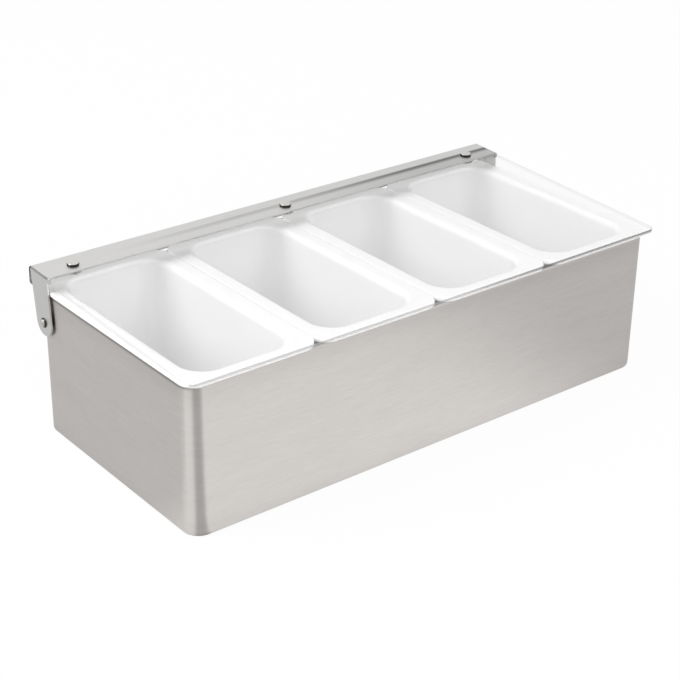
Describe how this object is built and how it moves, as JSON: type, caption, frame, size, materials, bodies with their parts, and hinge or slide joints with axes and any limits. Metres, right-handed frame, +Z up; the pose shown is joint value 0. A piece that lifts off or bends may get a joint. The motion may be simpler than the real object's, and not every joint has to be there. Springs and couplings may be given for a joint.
{
  "type": "condiment caddy",
  "caption": "Open-topped brushed steel caddy that holds loose white pots side by side under one clear lid, which swings back on a riveted hinge bar.",
  "frame": {"origin": "middle of the flat underside of the box", "axes": "+X along the length, to the right as seen from the front; +Y towards the hinge bar; +Z up"},
  "size_m": [0.3072, 0.1455, 0.0926],
  "materials": {
    "shell_steel": "brushed along the length",
    "bar_steel": "brushed along the length",
    "rivet_steel": "plain, lightly polished",
    "pot_plastic": "smooth moulded",
    "clear_plastic": "clear, polished edges"
  },
  "bodies": {
    "caddy": {"base_shell": "shell_steel", "pot_1": "pot_plastic", "pot_2": "pot_plastic", "pot_3": "pot_plastic", "pot_4": "pot_plastic", "pivot_rivet_left": "rivet_steel", "pivot_rivet_right": "rivet_steel", "pivot_spacer_left": "rivet_steel", "pivot_spacer_right": "rivet_steel", "pivot_washer_left": "rivet_steel", "pivot_washer_right": "rivet_steel"},
    "lid": {"lid_sheet": "clear_plastic", "hinge_bar": "bar_steel", "lid_rivet_left": "rivet_steel", "lid_rivet_middle": "rivet_steel", "lid_rivet_right": "rivet_steel", "lid_washer_left": "rivet_steel", "lid_washer_middle": "rivet_steel", "lid_washer_right": "rivet_steel"}
  },
  "joints": [
    {"name": "lid_hinge", "type": "hinge", "parent": "caddy", "child": "lid", "pos_m": [0, 0.0605, 0.0642], "axis": [-1, 0, 0], "range_deg": [0, 115]}
  ]
}
